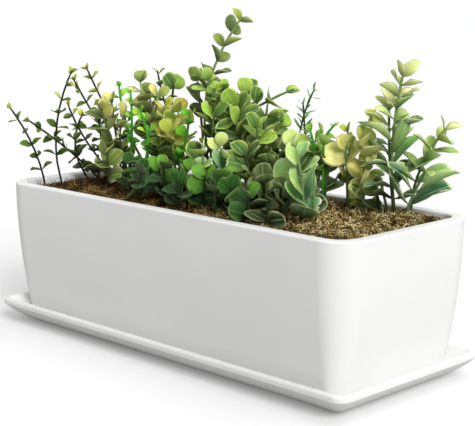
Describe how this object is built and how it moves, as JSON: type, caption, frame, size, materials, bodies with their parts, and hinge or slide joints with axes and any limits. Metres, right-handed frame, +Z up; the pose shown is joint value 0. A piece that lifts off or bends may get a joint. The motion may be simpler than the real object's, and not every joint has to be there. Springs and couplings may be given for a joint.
{
  "type": "indoor herb planter",
  "caption": "Rectangular glazed ceramic trough planter on a matching saucer, filled with foam, dried moss and artificial eucalyptus and herb sprigs.",
  "frame": {"origin": "middle of the saucer's flat underside, on the surface that the planter stands on", "axes": "+X along the trough's long side, +Y towards its back, +Z up"},
  "size_m": [0.412, 0.172, 0.2834],
  "materials": {
    "glaze": "satin white glaze",
    "foam": "dry open foam",
    "moss": "curled dry fibre",
    "stem_plastic": "moulded, satin",
    "leaf_fresh": "moulded leaf, satin",
    "leaf_pale": "moulded leaf, satin",
    "leaf_sage": "moulded leaf, satin",
    "leaf_gold": "moulded leaf, satin",
    "leaf_bright": "moulded leaf, satin",
    "leaf_dark": "moulded leaf, satin"
  },
  "bodies": {
    "saucer": {"saucer": "glaze"},
    "pot": {"pot": "glaze"},
    "planting": {"foam_block": "foam", "moss_layer": "moss", "right_tall_stems": "stem_plastic", "right_tall_leaves": "leaf_fresh", "right_leaning_stems": "stem_plastic", "right_leaning_leaves": "leaf_fresh", "front_pale_stems": "stem_plastic", "front_pale_leaves": "leaf_pale", "centre_pale_stems": "stem_plastic", "centre_pale_leaves": "leaf_pale", "centre_tall_stems": "stem_plastic", "centre_tall_leaves": "leaf_fresh", "centre_round_stems": "stem_plastic", "centre_round_leaves": "leaf_sage", "centre_leaning_stems": "stem_plastic", "centre_leaning_leaves": "leaf_sage", "golden_low_stems": "stem_plastic", "golden_low_leaves": "leaf_gold", "bright_left_stems": "stem_plastic", "bright_left_leaves": "leaf_bright", "bright_right_stems": "stem_plastic", "bright_right_leaves": "leaf_bright", "golden_stems": "stem_plastic", "golden_leaves": "leaf_gold", "olive_stems": "stem_plastic", "olive_leaves": "leaf_sage", "pale_yellow_stems": "stem_plastic", "pale_yellow_leaves": "leaf_pale", "centre_fork_stems": "stem_plastic", "centre_fork_leaves": "leaf_sage", "far_left_stems": "stem_plastic", "far_left_leaves": "leaf_dark", "left_upright_stems": "stem_plastic", "left_upright_leaves": "leaf_dark", "left_short_stems": "stem_plastic", "left_short_leaves": "leaf_dark", "left_spread_stems": "stem_plastic", "left_spread_leaves": "leaf_dark", "left_back_stems": "stem_plastic", "left_back_leaves": "leaf_dark", "lime_stems": "stem_plastic", "lime_leaves": "leaf_bright", "needle_stems": "stem_plastic", "needle_leaves": "leaf_dark", "mid_green_stems": "stem_plastic", "mid_green_leaves": "leaf_bright", "golden_upper_stems": "stem_plastic", "golden_upper_leaves": "leaf_gold", "back_fork_stems": "stem_plastic", "back_fork_leaves": "leaf_sage", "back_dark_stems": "stem_plastic", "back_dark_leaves": "leaf_sage", "front_low_stems": "stem_plastic", "front_low_leaves": "leaf_dark", "low_dark_stems": "stem_plastic", "low_dark_leaves": "leaf_dark", "front_dark_stems": "stem_plastic", "front_dark_leaves": "leaf_dark"}
  },
  "joints": [
    {"name": "pot_lift", "type": "slide", "parent": "saucer", "child": "pot", "axis": [0, 0, 1], "range_m": [0, 0.06]},
    {"name": "planting_lift", "type": "slide", "parent": "pot", "child": "planting", "axis": [0, 0, 1], "range_m": [0, 0.14]}
  ]
}
